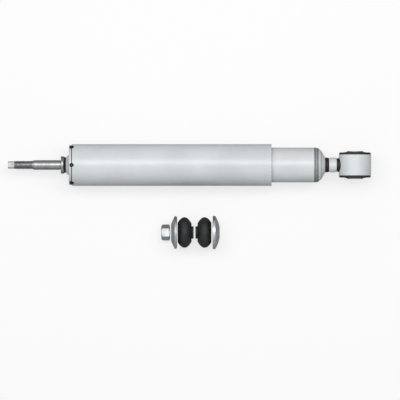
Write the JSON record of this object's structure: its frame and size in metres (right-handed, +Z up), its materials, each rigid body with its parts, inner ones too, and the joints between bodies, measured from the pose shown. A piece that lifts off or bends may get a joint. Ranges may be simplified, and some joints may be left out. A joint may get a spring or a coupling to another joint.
{
  "type": "shock absorber",
  "caption": "Two-tube shock absorber with dust cover, threaded stud on the rod, rubber-bushed eye on the tube, and the stud's nut, cup washers and bushes laid beside it.",
  "frame": {"origin": "centre of the eye's bolt hole", "axes": "-X along the rod towards the stud, +Y along the eye's bolt hole, +Z up: the absorber lies on its side"},
  "size_m": [0.418, 0.1209, 0.0488],
  "materials": {
    "enamel": "light grey satin enamel",
    "weld": "dark oxidised weld bead",
    "zinc_steel": "zinc plated steel, satin",
    "turned_steel": "turned steel",
    "chromed_rod": "hard chrome, polished",
    "rubber": "black moulded rubber",
    "nylon": "black nylon",
    "sintered": "sintered iron",
    "spring_steel": "tempered spring steel",
    "bronze": "bronze bearing metal",
    "ptfe": "bronze filled sliding plastic"
  },
  "bodies": {
    "reservoir": {"reservoir_tube": "enamel", "base_cup": "enamel", "base_seam_weld": "weld", "eye_ring": "enamel", "eye_bush": "rubber", "eye_weld": "weld", "eye_neck": "enamel", "neck_weld": "weld", "pressure_tube": "turned_steel", "foot_valve_body": "sintered", "foot_valve_pin": "turned_steel", "foot_compression_disc": "spring_steel", "foot_disc_washer": "turned_steel", "foot_check_stop": "turned_steel", "foot_check_spring": "spring_steel", "rod_guide": "sintered", "guide_bush": "bronze", "guide_o_ring": "rubber", "rod_seal": "rubber", "seal_spring": "spring_steel", "closing_washer": "turned_steel"},
    "eye_sleeve": {"eye_sleeve": "zinc_steel"},
    "foot_check": {"foot_check_plate": "spring_steel"},
    "piston_band": {"piston_band": "ptfe"},
    "rod": {"piston_rod": "chromed_rod", "piston": "sintered", "piston_nut": "turned_steel", "piston_check_stop": "turned_steel", "piston_check_spring": "spring_steel", "rebound_spring": "spring_steel", "rebound_stop": "turned_steel", "rebound_cushion": "rubber", "dust_cover_cap": "enamel", "dust_cover_tube": "enamel", "cover_weld_spots": "weld", "collar_weld": "weld", "stop_collar": "turned_steel"},
    "piston_check": {"piston_check_plate": "spring_steel"},
    "rebound_valve": {"rebound_disc": "spring_steel", "rebound_spring_seat": "spring_steel"},
    "lock_nut": {"lock_nut": "zinc_steel", "lock_nut_insert": "nylon"},
    "outer_cup_washer": {"outer_cup_washer": "zinc_steel"},
    "outer_bush": {"outer_bush": "rubber"},
    "inner_bush": {"inner_bush": "rubber"},
    "inner_cup_washer": {"inner_cup_washer": "zinc_steel"}
  },
  "joints": [
    {"name": "eye_pivot", "type": "hinge", "parent": "reservoir", "child": "eye_sleeve", "pos_m": [0, 0, 0], "axis": [0, 1, 0], "range_deg": [-20, 20], "stiffness_Nm_per_rad": 30},
    {"name": "rod_slide", "type": "slide", "parent": "reservoir", "child": "piston_band", "axis": [-1, 0, 0], "range_m": [0, 0.178]},
    {"name": "rod_turn", "type": "hinge", "parent": "piston_band", "child": "rod", "pos_m": [-0.2, 0, 0], "axis": [-1, 0, 0], "continuous": true},
    {"name": "foot_check_lift", "type": "slide", "parent": "reservoir", "child": "foot_check", "axis": [-1, 0, 0], "range_m": [0, 0.0012], "stiffness_N_per_m": 500, "springref_m": -0.001, "deforming": ["foot_check_spring"]},
    {"name": "piston_check_lift", "type": "slide", "parent": "rod", "child": "piston_check", "axis": [-1, 0, 0], "range_m": [0, 0.001], "stiffness_N_per_m": 500, "springref_m": -0.001, "deforming": ["piston_check_spring"]},
    {"name": "rebound_valve_lift", "type": "slide", "parent": "rod", "child": "rebound_valve", "axis": [1, 0, 0], "range_m": [0, 0.001], "stiffness_N_per_m": 8000, "springref_m": -0.001, "deforming": ["rebound_spring"]},
    {"name": "lock_nut_lift", "type": "slide", "parent": "reservoir", "child": "lock_nut", "axis": [0, 0, 1], "range_m": [0, 0.08]},
    {"name": "outer_cup_washer_lift", "type": "slide", "parent": "reservoir", "child": "outer_cup_washer", "axis": [0, 0, 1], "range_m": [0, 0.08]},
    {"name": "outer_bush_lift", "type": "slide", "parent": "reservoir", "child": "outer_bush", "axis": [0, 0, 1], "range_m": [0, 0.08]},
    {"name": "inner_bush_lift", "type": "slide", "parent": "reservoir", "child": "inner_bush", "axis": [0, 0, 1], "range_m": [0, 0.08]},
    {"name": "inner_cup_washer_lift", "type": "slide", "parent": "reservoir", "child": "inner_cup_washer", "axis": [0, 0, 1], "range_m": [0, 0.08]}
  ]
}
